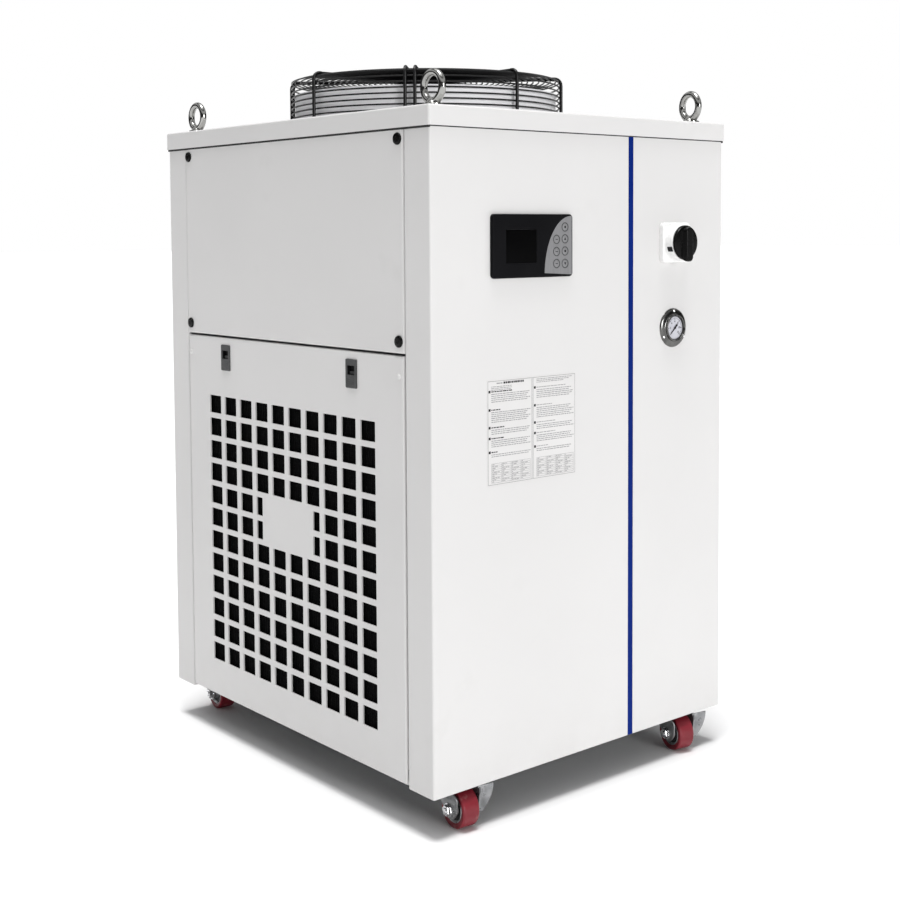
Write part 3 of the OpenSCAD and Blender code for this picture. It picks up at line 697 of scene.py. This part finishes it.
b = Build().add(lathe([(0, 24.5), (27.2, 24.5), (28.4, 25.3), (28.4, 27.8), (27.3, 29.6), (25.3, 30.3), (0, 30.7)], 72), 0, frame_at((DIAL, -HD, SWZ), (0, -1, 0)))
b.add(lathe([(0, 14), (5.95, 14), (5.95, 24.6), (0, 24.6)], 32), 0, frame_at((DIAL, -HD, SWZ), (0, -1, 0)))
loops = []
for d, hw_, hz, r in ((29.6, 11.5, 30.4, 9.0), (31.5, 10.6, 31.2, 8.6), (34.0, 9.4, 31.5, 8.2), (36.4, 8.4, 31.2, 7.6), (37.5, 7.4, 30.4, 6.8), (38.0, 5.8, 28.8, 5.4)):
    loops.append([(DIAL + p[0], -HD - d, SWZ + p[1]) for p in rr(-hw_, hw_, -hz, hz - 6.0, r - 0.3, 6)])
b.add(stack(loops))
b.done("switch_handle", "knob", KNOB, "black_plastic", ["switch_knob"])

# ------------------------------------------------------------------ gauge
AX = frame_at((DIAL, -HD, GAZ), (0, -1, 0))
b = Build().add(lathe([(18.8, 4.2), (19.6, 6.0), (20.2, 8.2), (21.2, 9.0), (22.3, 8.6), (22.8, 7.2), (23.0, 4.6), (24.2, 3.9), (27.5, 3.4), (30.5, 2.4), (32.0, 1.2), (32.5, 0.1), (18.8, 0.1)], 96, True), 0, AX)
for a in (90, 210, 330):
    b.add(lathe([(0, 1.7), (1.5, 1.6), (2.4, 1.0), (2.6, 0.0), (0, 0)], 24), 1, AX @ Matrix.Translation((28.2 * sin(rad(a)), 28.2 * cos(rad(a)) * -1, 2.6)))
b.done("gauge_shell", "cabinet", [STEEL, CHROME], "stainless", ["gauge_case"])
b = Build().add(lathe([(0, 4.9), (18.4, 4.9), (18.7, 4.6), (18.7, 4.15), (0, 4.15)], 72), 0, AX)


def on_dial(deg, r):
    """Point on the dial seen from the front: 0 is to the right, anticlockwise."""
    return DIAL + r * cos(rad(deg)), GAZ + r * sin(rad(deg))


def sliver(p, q, w0, w1, y0, y1):
    d = Vector((q[0] - p[0], q[1] - p[1])).normalized()
    n_ = Vector((-d.y, d.x))
    o = [(p[0] + n_.x * w0, p[1] + n_.y * w0), (p[0] - n_.x * w0, p[1] - n_.y * w0), (q[0] - n_.x * w1, q[1] - n_.y * w1), (q[0] + n_.x * w1, q[1] + n_.y * w1)]
    return stack([[(x, y0, z) for x, z in o], [(x, y1, z) for x, z in o]])


for k in range(31):
    t = 225 - 9.0 * k
    long_ = k % 5 == 0
    b.add(sliver(on_dial(t, 13.6 if long_ else 15.2), on_dial(t, 17.0), 0.5 if long_ else 0.28, 0.5 if long_ else 0.28, -HD - 5.02, -HD - 4.88), 1)
for k in range(7):
    t = 225 - 45.0 * k
    x, z = on_dial(t, 10.9)
    cu = bpy.data.curves.new("num", "FONT")
    cu.body = str(2 * k)
    cu.size = 4.8
    cu.offset = 0.1
    cu.align_x = "CENTER"
    cu.align_y = "CENTER"
    cu.extrude = 0.06
    cu.resolution_u = 3
    ob = bpy.data.objects.new("num", cu)
    me = ob.to_mesh()
    b.add(([(x + q.co.x, -HD - 4.95 - q.co.z, z + q.co.y) for q in me.vertices], [tuple(p.vertices) for p in me.polygons]), 1)
    ob.to_mesh_clear()
    bpy.data.objects.remove(ob)
    bpy.data.curves.remove(cu)
b.add(sliver((DIAL + 5.5, GAZ + 5.5), (DIAL - 10.4, GAZ - 9.6), 1.6, 0.45, -HD - 6.1, -HD - 5.7), 1)
b.add(lathe([(0, 4.6), (2.0, 4.6), (2.0, 6.0), (1.5, 6.5), (0, 6.6)], 28), 1, AX)
b.done("gauge_face", "cabinet", [DIALFACE, INK], "dial", ["gauge_dial"], weighted=False)

# ------------------------------------------------------------------ plain ruled sheet on the front
b = Build()
X0, X1, Z0, Z1 = -216.0, -31.0, ZB + 450.0, ZB + 609.0
b.add(plate(rr(X0, X1, Z0, Z1, 1.0, 3), [], [(-0.06, 0.0), (0.0, 0.06), (0.0, 0.28)], [], FR(-0.3)), 0)


def ink(x0, x1, z0, z1, mat):
    b.add(box((x0, -HD - 0.36, z0), (x1, -HD - 0.29, z1)), mat)


for x0, x1 in ((X0 + 1.5, X1 - 1.5),):
    ink(x0, x1, Z0 + 1.5, Z0 + 1.9, 1)
    ink(x0, x1, Z1 - 1.9, Z1 - 1.5, 1)
    ink(x0, x0 + 0.4, Z0 + 1.9, Z1 - 1.9, 1)
    ink(x1 - 0.4, x1, Z0 + 1.9, Z1 - 1.9, 1)
mid = (X0 + X1) / 2
ink(mid - 0.25, mid + 0.25, Z0 + 1.9, Z1 - 1.9, 1)
seed = 7


def words(x0, x1, z, h, mat, gap=1.0, lo=2.2, hi=7.5):
    """One ruled line broken into dashes of uneven length."""
    global seed
    x = x0
    while x < x1 - lo:
        seed = (seed * 1103515245 + 12345) % 2147483648
        e_ = min(x1, x + lo + (hi - lo) * seed / 2147483648.0)
        ink(x, e_, z - h, z, mat)
        x = e_ + gap


for col, x0, x1 in ((0, X0 + 3.0, mid - 3.0), (1, mid + 3.0, X1 - 3.0)):
    # frame round the column
    for xa_, xb_, za_, zb_ in ((x0 - 1.4, x0 - 0.9, Z0 + 1.6, Z1 - 1.6), (x1 + 0.9, x1 + 1.4, Z0 + 1.6, Z1 - 1.6),
                               (x0 - 0.9, x1 + 0.9, Z0 + 1.6, Z0 + 2.1), (x0 - 0.9, x1 + 0.9, Z1 - 2.1, Z1 - 1.6)):
        ink(xa_, xb_, za_, zb_, 1)
    for i, (top, lines, head) in enumerate(((16.6, 5, (42, 62)), (44.0, 6, (18, 34)), (70.5, 3, (26, 42)), (86.7, 4, (26, 40)), (107.5, 2, (14, 24)))):
        z = Z1 - top
        ink(x0, x0 + 3.9, z - 2.6, z + 1.2, 2)
        words(x0 + 5.4, x0 + 5.4 + head[col], z, 1.6 if col == 0 else 1.1, 2 if col == 0 else 1)
        for k in range(lines):
            words(x0 + 5.4, x1 - (1.5 + 12 * ((k * 7 + i * 3 + col) % 3) / 3.0), z - 4.0 - 2.9 * k, 1.15, 1)
    for k in range(3):
        words(x0 + 5.4, x1 - (40 if col == 0 else 3 + 9 * k), Z1 - (9.6 if col == 0 else 4.2) - 2.4 * k, 1.0, 1)
    # ruled table with dashes in its cells
    for k in range(11):
        zz = Z0 + 4.2 + 2.9 * k
        ink(x0 + 5.4, x1 - 2, zz, zz + 0.4, 1)
        if k < 10:
            for q in range(4):
                xx = x0 + 5.4 + (x1 - 7.4 - x0) * q / 4.0
                words(xx + 1.4, xx + 6 + 10 * ((k + q) % 3) / 2.0, zz + 2.2, 1.0, 1)
    for k in range(5):
        xx = x0 + 5.4 + (x1 - 7.4 - x0) * k / 4.0
        ink(xx - 0.2, xx + 0.2, Z0 + 4.2, Z0 + 33.6, 1)
words(X0 + 33, X0 + 75, Z1 - 3.6, 3.0, 2, 0.9, 2.0, 4.5)
words(X0 + 19, X0 + 31, Z1 - 4.4, 1.8, 1)
b.done("ruled_sheet", "cabinet", [PAPER, GREYINK, INK], None, weighted=False)

# ------------------------------------------------------------------ fittings on the back
for name, z in (("water_inlet", 420.0), ("water_outlet", 300.0)):
    at = frame_at((150, HD, z), (0, 1, 0))
    b = Build().add(lathe([(0, 0.1), (27.2, 0.1), (28, 0.9), (28, 2.8), (27, 3.8), (0, 3.8)], 64), 0, at)
    b.add(hexa(24.0, 3.8, 22.0, 1.6), 0, at)
    prof = [(20.5, 22.0), (20.5, 36.6), (19.6, 38.0), (16.6, 38.0)]
    h = 37.0
    while h > 23.5:
        prof += [(15.25, h), (16.2, h - 0.95)]
        h -= 1.9
    prof += [(15.25, 22.6), (0, 22.6)]
    b.add(lathe([(0, 22.0)] + prof, 64), 0, at)
    b.done(name + "_fitting", "cabinet", BRASS, "brass", [name], sharp=30)
at = frame_at((-180, HD, 220), (0, 1, 0))
b = Build().add(hexa(18.0, 0.1, 7.6, 0.8), 0, at)
b.add(lathe([(9.5, 7.6), (15, 7.6), (15, 18.5), (14.0, 21.5), (11.4, 23.6), (9.5, 24.0)], 48, True), 0, at)
for k in range(18):
    b.add(rbox((14.6, -0.8, 8.6), (15.6, 0.8, 18.4), 0.25, 1), 0, at @ Matrix.Rotation(rad(20 * k), 4, "Z"))
b.add(lathe([(7.0, 6), (9.4, 6), (9.4, 23.0), (8.4, 23.6), (7.0, 23.2)], 40, True), 1, at)
b.done("gland_nut", "cabinet", [BLACK, RUBBER], "black_plastic", ["cable_gland"])

# ------------------------------------------------------------------ casters
b = Build()
for sx in (-1, 1):
    for sy in (-1, 1):
        for dx in (-26, 26):
            for dy in (-22, 22):
                at = Matrix.Translation((sx * (HW - 75) + dx, sy * (HD - 52) + dy, FZ - 3.5)) @ Matrix.Rotation(PI, 4, "X")
                b.add(lathe([(0, 0.02), (6.0, 0.02), (6.0, 0.9), (0, 0.9)], 24), 0, at)
                b.add(hexa(5.2, 0.9, 4.0, 0.5), 0, at @ Matrix.Rotation(rad(11 * (dx + dy) % 60), 4, "Z"))
b.done("caster_bolts", "cabinet", ZINC, "zinc_steel")


def leg(s):
    """One fork leg: level slices of a sheet that flares out from the axle to the swivel head."""
    loops = []
    levels = [30 - 12.4 * cos(rad(t)) for t in range(4, 91, 8)] + [30 + 49.0 * i / 22.0 for i in range(1, 23)]
    for z in levels:
        if z < 30:
            y0, y1 = -33.5 - 13.3 * ((z - 17.5) / 12.5) ** 0.7, -26 + math.sqrt(max(0.0, 12.5 ** 2 - (z - 30) ** 2))
        else:
            q = (z - 30) / 49.0
            y0 = -46.8 - 1.2 * (z - 30) / 22.0 if z < 52 else (-48.0 + 18.0 * ((z - 52) / 15.0) ** 1.3 if z < 67 else -30.0 + 6.0 * (z - 67) / 12.0)
            y1 = -13.5 + 35.0 * sin(q * PI / 2) ** 1.05
        t = min(1.0, max(0.0, (z - 45.0) / 31.0))
        xc = 20.5 + 9.6 * t * t * (3 - 2 * t)
        r = min(0.9, (y1 - y0) * 0.3)
        loops.append([(s * p[0], p[1], z) for p in rr(xc - 1.5, xc + 1.5, y0, y1, r, 2)])
    return stack(loops)


def brake_plate():
    """Brake plate of a front caster: a sheet across the front of the leg with a round outer edge."""
    curve = [(31 + 20.5 * (1 - (1 - i / 20.0) ** 2.12), 20.5 + 40.5 * i / 20.0) for i in range(21)]
    line = [(22.2, 24.0), (26.6, 21.2), (29.4, 20.3)] + curve + [(22.2, 61.0)]
    loops = []
    for y, g in ((-41.3, -1.0), (-41.05, -0.5), (-40.6, -0.1), (-40.2, 0.0), (-39.6, 0.0), (-39.1, -0.25), (-38.8, -0.7)):
        loops.append([(q[0], y, q[1]) for q in grow(line, g)])
    return stack(loops)


for name, sx, sy, turn in (("front_left", -1, -1, 5), ("front_right", 1, -1, 12), ("back_left", -1, 1, 186), ("back_right", 1, 1, 166)):
    at = Matrix.Translation((sx * (HW - 75), sy * (HD - 52), 0)) @ Matrix.Rotation(-rad(turn), 4, "Z")
    axle = at @ frame_at((0, -26, 30), (1, 0, 0))
    b = Build().add(leg(-1), 0, at).add(leg(1), 0, at)
    b.add(plate(rr(-31.4, 31.4, -24, 21.3, 10, 6), [circ(0, 0, 6.3, 32)], arc_chain(1.4, 4.0, 3), [(0.0, 0.0), (0.0, 4.0)], lambda p, d: (p[0], p[1], FZ - 9.02 - d)), 0, at)
    b.add(lathe([(12, FZ - 15.6), (22, FZ - 15.6), (24.5, FZ - 14.4), (26, FZ - 13.0), (12, FZ - 13.0)], 40, True), 0, at)
    b.add(lathe([(0, -22.4), (4.95, -22.4), (4.95, 22.4), (0, 22.4)], 32), 1, axle)
    for s in (-1, 1):
        end = axle @ (Matrix.Identity(4) if s > 0 else Matrix.Rotation(PI, 4, "X"))
        b.add(lathe([(0, 22.05), (10.2, 22.05), (10.4, 22.4), (10.2, 23.5), (0, 23.5)], 36), 1, end)
        b.add(hexa(8.8, 23.5, 28.3, 0.9), 1, end @ Matrix.Rotation(0.3, 4, "Z"))
        b.add(lathe([(0, 28.3), (4.6, 28.3), (4.6, 29.4), (3.9, 30.0), (0, 30.0)], 28), 1, end)
    if sy < 0:
        b.add(brake_plate(), 0, at)
    b.done("fork_sheet_" + name, "caster_" + name, [FORKZINC, CHROME], "zinc_steel", ["fork_" + name])
    b = Build().add(lathe([(21.6, -13.6), (25.5, -14.7), (27.6, -15.0), (29.0, -14.3), (29.8, -13.0), (30.0, -11.2), (30.0, 11.2), (29.8, 13.0), (29.0, 14.3), (27.6, 15.0), (25.5, 14.7), (21.6, 13.6)], 96, True), 0, axle)
    b.done("tread_" + name, "roller_" + name, RED, "red_tread", ["wheel_" + name])
    half = [(5.1, 16.9), (9.6, 16.9), (10.6, 16.2), (10.9, 12.0), (12.0, 10.4), (16.8, 9.9), (18.4, 11.0), (19.4, 13.2), (20.6, 13.9), (21.55, 13.2)]
    b = Build().add(lathe(half + [(r, -h) for r, h in half[::-1]], 72, True), 0, axle)
    for s in (0, 1):
        b.add(lathe([(11.2, 9.6), (17.6, 9.6), (17.6, 11.2), (16.4, 11.7), (12.4, 11.8), (11.2, 11.4)], 64, True), 1, axle @ Matrix.Rotation(PI * s, 4, "X"))
    b.done("hub_" + name, "roller_" + name, [ZINC, RUBBER], "zinc_steel")

# ------------------------------------------------------------------ CAD pieces that stay
for node, m in (("base_plate", GALV), ("base_rails", WHITE), ("blue_strip", BLUE), ("caster_plates", ZINC)):
    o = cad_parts[node]
    if not o.data.materials:
        o.data.materials.append(m)
    for i in range(len(o.data.materials)):
        o.data.materials[i] = m

# ------------------------------------------------------------------ floor, light, camera
me = bpy.data.meshes.new("floor")
S = 60.0
me.from_pydata([(-S, -S, 0), (S, -S, 0), (S, S, 0), (-S, S, 0)], [], [(0, 1, 2, 3)])
floor = bpy.data.objects.new("floor", me)
bpy.context.scene.collection.objects.link(floor)
me.materials.append(material("pale_floor", (0.86, 0.86, 0.86), (0.88, 0.88, 0.88), (0.75, 0.9), scale=0.8, bump=(40.0, 0.02, 0.0005), spec=0.1))
floor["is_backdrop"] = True

scene = bpy.context.scene
world = bpy.data.worlds.new("studio")
scene.world = world
world.use_nodes = True
wt = world.node_tree
wn = wt.nodes
for x in list(wn):
    wn.remove(x)
out = wn.new("ShaderNodeOutputWorld")
lit, seen, pick, path = wn.new("ShaderNodeBackground"), wn.new("ShaderNodeBackground"), wn.new("ShaderNodeMixShader"), wn.new("ShaderNodeLightPath")
tc, sep, ramp = wn.new("ShaderNodeTexCoord"), wn.new("ShaderNodeSeparateXYZ"), wn.new("ShaderNodeValToRGB")
wt.links.new(tc.outputs["Generated"], sep.inputs[0])
wt.links.new(sep.outputs["Z"], ramp.inputs[0])
cr = ramp.color_ramp
cr.elements[0].position, cr.elements[0].color = 0.0, (0.03, 0.03, 0.03, 1)
cr.elements[1].position, cr.elements[1].color = 1.0, (0.80, 0.80, 0.81, 1)
e = cr.elements.new(0.35)
e.color = (0.20, 0.20, 0.203, 1)
wt.links.new(ramp.outputs[0], lit.inputs["Color"])
lit.inputs["Strength"].default_value = 0.8
seen.inputs["Color"].default_value = (1, 1, 1, 1)
seen.inputs["Strength"].default_value = 1.0
# mirror-like surfaces see a studio with a dark band and a bright ceiling
shine, pick2, ramp2 = wn.new("ShaderNodeBackground"), wn.new("ShaderNodeMixShader"), wn.new("ShaderNodeValToRGB")
wt.links.new(sep.outputs["Z"], ramp2.inputs[0])
cs = ramp2.color_ramp
cs.elements[0].position, cs.elements[0].color = 0.0, (0.10, 0.10, 0.105, 1)
cs.elements[1].position, cs.elements[1].color = 1.0, (1.0, 1.0, 1.0, 1)
for at_, g in ((0.08, 0.03), (0.30, 0.03), (0.42, 0.55), (0.62, 0.62), (0.70, 0.12), (0.80, 0.14), (0.86, 1.0)):
    e = cs.elements.new(at_)
    e.color = (g, g, g, 1)
wt.links.new(ramp2.outputs[0], shine.inputs["Color"])
shine.inputs["Strength"].default_value = 1.3
wt.links.new(path.outputs["Is Glossy Ray"], pick2.inputs[0])
wt.links.new(lit.outputs[0], pick2.inputs[1])
wt.links.new(shine.outputs[0], pick2.inputs[2])
wt.links.new(path.outputs["Is Camera Ray"], pick.inputs[0])
wt.links.new(pick2.outputs[0], pick.inputs[1])
wt.links.new(seen.outputs[0], pick.inputs[2])
wt.links.new(pick.outputs[0], out.inputs["Surface"])


def sun(name, direction, strength, angle):
    d = bpy.data.lights.new(name, "SUN")
    d.energy = strength
    d.angle = rad(angle)
    o = bpy.data.objects.new(name, d)
    o.rotation_mode = "QUATERNION"
    o.rotation_quaternion = (-Vector(direction)).to_track_quat("-Z", "Y")
    scene.collection.objects.link(o)


sun("top_soft", (-0.075, -0.05, 0.996), 3.15, 22.0)
sun("left_soft", (-0.46, -0.16, 0.87), 0.22, 16.0)
sun("front_soft", (0.0, -0.99, 0.14), 1.40, 20.0)

cam = bpy.data.cameras.new("camera")
cam.lens = 56.2456
cam.sensor_width = 36.0
cam.shift_y = -0.15
cam.clip_start, cam.clip_end = 0.05, 200.0
co = bpy.data.objects.new("camera", cam)
yaw, pitch, roll = rad(39.8821), rad(3.4175), rad(0.3352)
fw = Vector((sin(yaw) * cos(pitch), cos(yaw) * cos(pitch), -sin(pitch)))
right = Vector((cos(yaw), -sin(yaw), 0))
down = fw.cross(right)
r2, d2 = right * cos(roll) + down * sin(roll), down * cos(roll) - right * sin(roll)
co.matrix_world = Matrix(((r2.x, -d2.x, -fw.x, -1.5887), (r2.y, -d2.y, -fw.y, -1.9365), (r2.z, -d2.z, -fw.z, 0.8971), (0, 0, 0, 1)))
scene.collection.objects.link(co)
scene.camera = co
scene.view_settings.view_transform = "Standard"
scene.view_settings.look = "None"

bpy.context.view_layer.update()
lo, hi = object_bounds()
